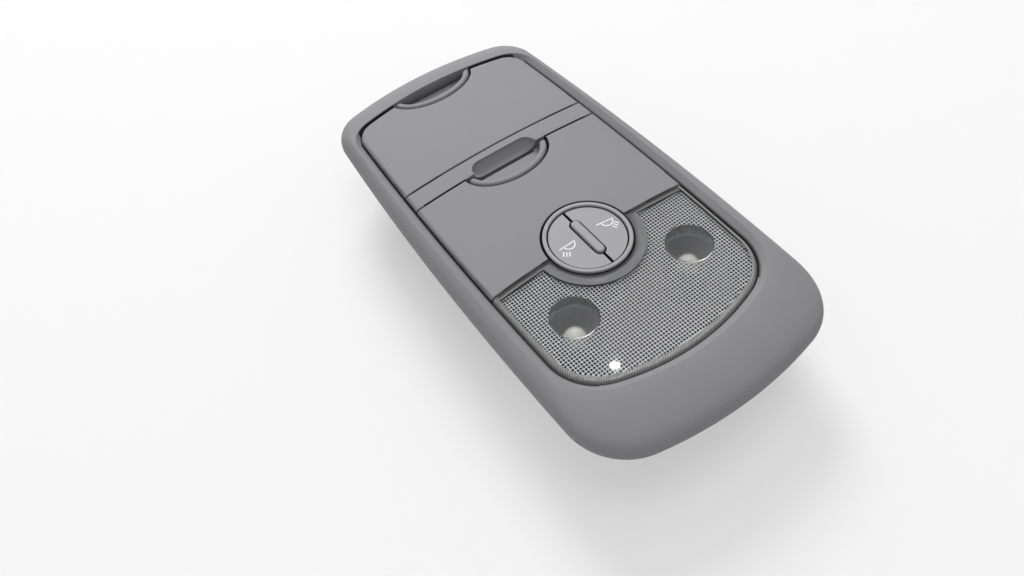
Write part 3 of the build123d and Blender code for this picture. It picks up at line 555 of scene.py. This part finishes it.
def thicken_down(flat, thickness, lift):
    """A flat face as a block that hangs from it, moved by a lift."""
    lowered = corners(bmesh.ops.extrude_face_region(flat, geom=flat.faces[:])["geom"])
    bmesh.ops.translate(flat, verts=lowered, vec=(0, 0, -thickness))
    bmesh.ops.translate(flat, verts=flat.verts, vec=(0, 0, lift))
    bmesh.ops.recalc_face_normals(flat, faces=flat.faces)


# %% The field's outline
FIELD_INSET = 1.3 * MM
FIELD_BLOCK = 4.0 * MM
FIELD_LIFT = 1.5 * MM
WINDOW_RADIUS = 10.6 * MM
WINDOW_SHIFT = Vector((1.2, 2.0, 0.0)) * MM
SWITCH_BAND = 25.6 * MM
CUTTER_HEIGHT = 12.0 * MM


def cut_windows(body):
    for x, y in lamp_places.values():
        window = upright_drum(x + WINDOW_SHIFT.x, y + WINDOW_SHIFT.y, ceiling_z, WINDOW_RADIUS,
                              CUTTER_HEIGHT)
        boolean(body, as_object("window", window), "DIFFERENCE")


ceiling = flat_of_lens(face_z - LENS_THICK, -1, FIELD_INSET)
ceiling_z = ceiling.faces[:][0].calc_center_median().z
thicken_down(ceiling, FIELD_BLOCK, FIELD_LIFT)
field = as_object("field_outline", ceiling)
cut_windows(field)
band = upright_drum(0, switch_y, ceiling_z, SWITCH_BAND, CUTTER_HEIGHT)
boolean(field, as_object("band", band), "DIFFERENCE")
print("field outline has", len(field.data.vertices), "vertices")

# %% [markdown]
# ## The plain band
# Between the prisms and the lens's edge, and round the switch, the lens has no prisms and looks satin. A
# thin slab inside the lens gives that look: the lens's top face, drawn in a hair and moved down, less the
# field's own outline and the windows.

# %% The plain band round the prisms
BAND_THICK = 0.12 * MM
BAND_DROP = 0.9 * MM
BAND_INSET = 0.12 * MM

slab = flat_of_lens(lens_high.z, 1, BAND_INSET)
thicken_down(slab, BAND_THICK, -BAND_DROP)
plain = as_object("plain", slab)
hole = bmesh.new()
hole.from_mesh(field.data)
boolean(plain, as_object("field_hole", hole), "DIFFERENCE")
cut_windows(plain)
plain_band = piece("plain_band", as_shape(plain), satin_acrylic, "housing")
print("plain band:", len(plain_band.data.polygons), "faces")

# %% [markdown]
# ## The prisms
# Each square of a grid is inset and pushed into the lamp, so that its sloping sides, pale as painted
# reflection, catch the light and its flat middle, tinted as painted shade, shows dark. A bump texture has
# no real slopes, so the prisms are modelled, and the finished sheet is trimmed to the field's outline.

# %% The prism sheet
PRISM_PITCH = 1.45 * MM
PRISM_SLOPE = 0.25 * MM
PRISM_DEPTH = 0.27 * MM
SHEET_THICK = 0.35 * MM
CEILING_GAP = 0.02 * MM

size = lens_high - lens_low
columns = math.ceil(size.x / PRISM_PITCH)
rows = math.ceil(size.y / PRISM_PITCH)
prisms = bmesh.new()
bmesh.ops.create_grid(prisms, x_segments=columns, y_segments=rows, size=0.5)
bmesh.ops.scale(prisms, verts=prisms.verts, vec=(columns * PRISM_PITCH, rows * PRISM_PITCH, 1))
sheet_z = ceiling_z - CEILING_GAP - SHEET_THICK
lens_centre = (lens_low + lens_high) / 2
bmesh.ops.translate(prisms, verts=prisms.verts, vec=(lens_centre.x, lens_centre.y, sheet_z))
bmesh.ops.inset_individual(prisms, faces=prisms.faces[:], thickness=PRISM_SLOPE, depth=-PRISM_DEPTH)
edges = [edge for edge in prisms.edges if edge.is_boundary]
raised = corners(bmesh.ops.extrude_edge_only(prisms, edges=edges)["geom"])
bmesh.ops.translate(prisms, verts=raised, vec=(0, 0, SHEET_THICK))
bmesh.ops.holes_fill(prisms, edges=[edge for edge in prisms.edges if edge.is_boundary])
bmesh.ops.recalc_face_normals(prisms, faces=prisms.faces)
sheet = as_object("sheet", prisms)
boolean(sheet, field, "INTERSECT")

# %% Finishes of the prisms' sides
FLAT_TILT = -0.95
SLOPE_TILT = -0.1

trimmed = as_shape(sheet)
trimmed.normal_update()
# Flats take the painted shade tint, slopes the pale colour of painted reflection.
for face in trimmed.faces:
    if face.normal.z < FLAT_TILT:
        face.material_index = 1
    elif face.normal.z < SLOPE_TILT:
        face.material_index = 2
prism_field = piece("prism_field", trimmed, inner_acrylic, "housing")
prism_field.data.materials.append(shade_tinted_acrylic)
prism_field.data.materials.append(pale_reflection_acrylic)
print("prism field:", columns, "by", rows, "squares,", len(prism_field.data.polygons), "faces")

# %% [markdown]
# ## The fluted edge
# Where the lens rolls down to the bezel, fine upright flutes turn its clear edge into a grey, satin band.
# The faces of the roll get a finish of their own, in which a wave across the corner gives the flutes as
# bump and paints their crests lighter and their hollows darker, as painted shading. The walls at the rear
# lid and round the switch have no flutes and are satin, as the plain band is.

# %% The fluted finish
FLUTE_STEP = 0.95 * MM
FLUTE_DEPTH = 0.15 * MM
FLUTE_STRENGTH = 0.4
FLUTE_HOLLOW_SHADE = 0.25
FLUTE_CREST_LIGHT = 0.38
FLUTE_ROUGHNESS = 0.25
FLUTE_CLEARNESS = 0.35

fluted = Finish("fluted_edge")
place = fluted.node("ShaderNodeSeparateXYZ", {}, {0: fluted.place})
turns = (place["X"] - place["Y"]) * (math.tau / (math.sqrt(2) * FLUTE_STEP))
ridges = fluted.node("ShaderNodeMath", {"operation": "SINE"}, {0: turns})[0] * 0.5 + 0.5
# Painted shading: the flutes' crests are coloured lighter and their hollows darker, after the same wave as
# the bump.
flute_painted_shading = fluted.node("ShaderNodeMix", {"data_type": "RGBA"}, {
    0: ridges, 6: grey(FLUTE_HOLLOW_SHADE), 7: grey(FLUTE_CREST_LIGHT)})[2]
flute_bump = fluted.node("ShaderNodeBump", {}, {"Height": ridges, "Strength": FLUTE_STRENGTH,
                                                "Distance": FLUTE_DEPTH})["Normal"]
fluted_edge = fluted.surface(fluted.node("ShaderNodeBsdfPrincipled", {}, {
    "Base Color": flute_painted_shading, "Roughness": FLUTE_ROUGHNESS, "IOR": ACRYLIC_IOR,
    "Transmission Weight": FLUTE_CLEARNESS, "Normal": flute_bump})["BSDF"])
print("flutes to the centimetre:", round(10 * MM / FLUTE_STEP, 1))

# %% The rolled edge
FLAT_FROM = 0.985
RING_CLEARANCE = 24.0 * MM
LID_CLEARANCE = 0.6 * MM

lens = nodes["lens"]
lens.data.materials.append(fluted_edge)
lens.data.materials.append(satin_acrylic)
rolled = 0
for face in lens.data.polygons:
    outward = (face.center - lens_centre).to_2d()
    at_ring = (face.center.to_2d() - Vector((0, switch_y))).length < RING_CLEARANCE
    if not OVERHANG < face.normal.z < FLAT_FROM:
        continue
    if at_ring or face.center.y > lens_high.y - LID_CLEARANCE:
        face.material_index = 2
    elif face.normal.to_2d().dot(outward) > 0:
        face.material_index = 1
        rolled += 1
print("faces of the roll:", rolled, "of", len(lens.data.polygons))

# %% [markdown]
# ## The bull's-eye windows
# Each window is a plain spot in the prism field with a shallow bull's-eye lens inside, which draws the
# bulb out into a soft bright patch. A sphere is cut by a plane and its cap is kept.

# %% Bull's-eye lenses
BULL_SAG = 0.8 * MM
BULL_SEGMENTS = 72
BULL_RINGS = 160

bull_radius = (WINDOW_RADIUS ** 2 + BULL_SAG ** 2) / (2 * BULL_SAG)
for side, (x, y) in lamp_places.items():
    cap = bmesh.new()
    bmesh.ops.create_uvsphere(cap, u_segments=BULL_SEGMENTS, v_segments=BULL_RINGS, radius=bull_radius)
    bmesh.ops.bisect_plane(cap, geom=cap.verts[:] + cap.edges[:] + cap.faces[:],
                           plane_co=(0, 0, BULL_SAG - bull_radius), plane_no=(0, 0, 1), clear_outer=True)
    bmesh.ops.holes_fill(cap, edges=[edge for edge in cap.edges if edge.is_boundary])
    bmesh.ops.recalc_face_normals(cap, faces=cap.faces)
    lift = ceiling_z - CEILING_GAP - (BULL_SAG - bull_radius)
    bmesh.ops.translate(cap, verts=cap.verts, vec=Vector((x, y, lift)) + WINDOW_SHIFT)
    for face in cap.faces:
        face.smooth = len(face.verts) < 5
    piece(side + "_bulls_eye", cap, soft_acrylic, "housing")
print("bull's-eye radius in millimetres:", round(bull_radius / MM, 1))

# %% [markdown]
# ## The lamp signs
# Each button has the common lamp sign in white print: a line, a dome under it and three rays. Bars are
# scaled cubes, and the dome is a small bar spun through half a turn.

# %% The drawing of a sign
PRINT_THICK = 0.05 * MM
PRINT_SINK = 0.01 * MM
STROKE = 0.5 * MM
LINE_LENGTH = 8.6 * MM
DOME_RADIUS = 2.75 * MM
DOME_SHIFT = 0.9 * MM
RAY_LENGTH = 2.5 * MM
RAY_PITCH = 1.35 * MM
RAY_PLACE = (3.3 * MM, -3.8 * MM)
RAY_SLANT = math.radians(38)
DOME_STEPS = 20


def stroke_bar(shape, x, y, length, turn):
    """A flat bar of print, its length along X before it is turned."""
    matrix = Matrix.Translation((x, y, 0)) @ Matrix.Rotation(turn, 4, "Z")
    matrix = matrix @ Matrix.Diagonal((length, STROKE, PRINT_THICK, 1))
    bmesh.ops.create_cube(shape, size=1, matrix=matrix)


def lamp_sign(sense):
    """A sign that lies on the origin, with its rays slanting to the right or, for -1, to the left."""
    shape = bmesh.new()
    stroke_bar(shape, 0, 0, LINE_LENGTH, 0)
    section = bmesh.ops.create_grid(shape, x_segments=1, y_segments=1, size=0.5)["verts"]
    bmesh.ops.scale(shape, verts=section, vec=(STROKE, PRINT_THICK, 1))
    bmesh.ops.rotate(shape, verts=section, cent=(0, 0, 0), matrix=Matrix.Rotation(math.radians(90), 3, "X"))
    bmesh.ops.translate(shape, verts=section, vec=(DOME_SHIFT + DOME_RADIUS, 0, 0))
    ring = [item for item in shape.faces if set(item.verts) == set(section)]
    bmesh.ops.spin(shape, geom=ring + list({edge for face in ring for edge in face.edges}) + section,
                   cent=(DOME_SHIFT, 0, 0), axis=(0, 0, -1), angle=math.pi, steps=DOME_STEPS)
    turn = sense * RAY_SLANT
    for step in (-RAY_PITCH, 0, RAY_PITCH):
        x = sense * RAY_PLACE[0] + step * math.cos(turn)
        y = RAY_PLACE[1] + step * math.sin(turn)
        stroke_bar(shape, x, y, RAY_LENGTH, turn - math.pi / 2)
    bmesh.ops.recalc_face_normals(shape, faces=shape.faces)
    return shape


# %% Signs on the buttons
# side: X and Y from the switch's centre in millimetres, turn in degrees, slant of the rays
SIGN_PLACES = {"left": (-9.8, 1.9, 2.0, -1), "right": (11.2, 2.3, -8.0, 1)}

for side, (x, y, turn, sense) in SIGN_PLACES.items():
    sign = lamp_sign(sense)
    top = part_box(side + "_button")[1].z + PRINT_THICK / 2 - PRINT_SINK
    bmesh.ops.rotate(sign, verts=sign.verts, cent=(0, 0, 0),
                     matrix=Matrix.Rotation(math.radians(turn), 3, "Z"))
    bmesh.ops.translate(sign, verts=sign.verts, vec=(x * MM, switch_y + y * MM, top))
    made = piece(side + "_lamp_sign", sign, white_print, side + "_button")
    print(made.name, "has", len(made.data.polygons), "faces")

# %% [markdown]
# ## Table, light and camera
# The console lies on a white table, with a white backdrop all round, under a large soft light from the far
# end. The world fills the shadows, and the table shows white to the camera while it keeps the shadow. A
# very small lamp makes the one sharp glint on the lens.

# %% The table
BACKDROP_HEIGHT = 2.2
BACKDROP_RADIUS = 3.0
BACKDROP_SEGMENTS = 128
TABLE_GAP = 0.2 * MM
TABLE_COLOUR = (0.80, 0.80, 0.802, 1.0)
TABLE_ROUGHNESS = 0.8
GLOW_LEVEL = 0.95
GLOW_SHARE = 0.45

table = bmesh.new()
bmesh.ops.create_circle(table, cap_ends=True, segments=BACKDROP_SEGMENTS, radius=BACKDROP_RADIUS)
bmesh.ops.translate(table, verts=table.verts, vec=(0, 0, cad_box[0].z - TABLE_GAP))
edges = [edge for edge in table.edges if edge.is_boundary]
rim = corners(bmesh.ops.extrude_edge_only(table, edges=edges)["geom"])
bmesh.ops.translate(table, verts=rim, vec=(0, 0, BACKDROP_HEIGHT))
table_top = as_object("table", table)
table_finish = Finish("table_white")
matt = table_finish.node("ShaderNodeBsdfPrincipled", {}, {
    "Base Color": TABLE_COLOUR, "Roughness": TABLE_ROUGHNESS})["BSDF"]
glow = table_finish.node("ShaderNodeEmission", {}, {"Color": grey(GLOW_LEVEL)})["Emission"]
path = table_finish.node("ShaderNodeLightPath", {}, {})
seen = path["Is Camera Ray"] + path["Is Glossy Ray"] + path["Is Transmission Ray"]
table_top.data.materials.append(table_finish.surface(table_finish.node("ShaderNodeMixShader", {}, {
    0: seen * GLOW_SHARE, 1: matt, 2: glow})["Shader"]))
print("table and backdrop:", len(table_top.data.polygons), "faces")


# %% Lights
SKY_LIGHT = 0.45


def soft_box(name, place, width, power, height=None):
    """An oval lamp that is aimed at the origin; sizes in metres, power in watts."""
    data = bpy.data.lights.new(name, "AREA")
    data.shape = "ELLIPSE"
    data.size = width
    data.size_y = height or width
    data.energy = power
    lamp = bpy.data.objects.new(name, data)
    lamp.location = place
    lamp.rotation_mode = "QUATERNION"
    lamp.rotation_quaternion = (-Vector(place)).to_track_quat("-Z", "Y")
    bpy.context.scene.collection.objects.link(lamp)
    print("lamp", name, "of", power, "watts")


soft_box("key", (0.9, 2.2, 1.9), width=1.35, power=70.0)
soft_box("top", (0, 0, 2.0), width=1.2, power=8.0)
soft_box("glint", (0.324, 0.308, 0.893), width=0.013, power=0.1, height=0.007)
world = bpy.data.worlds.new("studio")
world.use_nodes = True
sky = world.node_tree.nodes["Background"]
sky.inputs["Color"].default_value = grey(1.0)
sky.inputs["Strength"].default_value = SKY_LIGHT
bpy.context.scene.world = world
bpy.context.scene.view_settings.view_transform = "Standard"

# %% The camera
FOCAL_PIXELS = 903.67
PHOTO_WIDTH = 1024
SENSOR_WIDTH = 36
NEAR_CLIP = 0.01
CAMERA_FROM_SWITCH = Vector((-158.52, -194.41, 301.02)) * MM
AIM_FROM_SWITCH = Vector((-41.88, -2.19, 0.0)) * MM
CAMERA_ROLL = math.radians(-5.57)

switch_centre = Vector((0, switch_y, face_z))
camera_data = bpy.data.cameras.new("camera")
camera_data.sensor_width = SENSOR_WIDTH
camera_data.lens = FOCAL_PIXELS * SENSOR_WIDTH / PHOTO_WIDTH
camera_data.clip_start = NEAR_CLIP
camera = bpy.data.objects.new("camera", camera_data)
camera.location = switch_centre + CAMERA_FROM_SWITCH
camera.rotation_mode = "QUATERNION"
look = (AIM_FROM_SWITCH - CAMERA_FROM_SWITCH).to_track_quat("-Z", "Y")
camera.rotation_quaternion = look @ Matrix.Rotation(CAMERA_ROLL, 3, "Z").to_quaternion()
bpy.context.scene.collection.objects.link(camera)
bpy.context.scene.camera = camera
print("lens in millimetres:", round(camera_data.lens, 2))
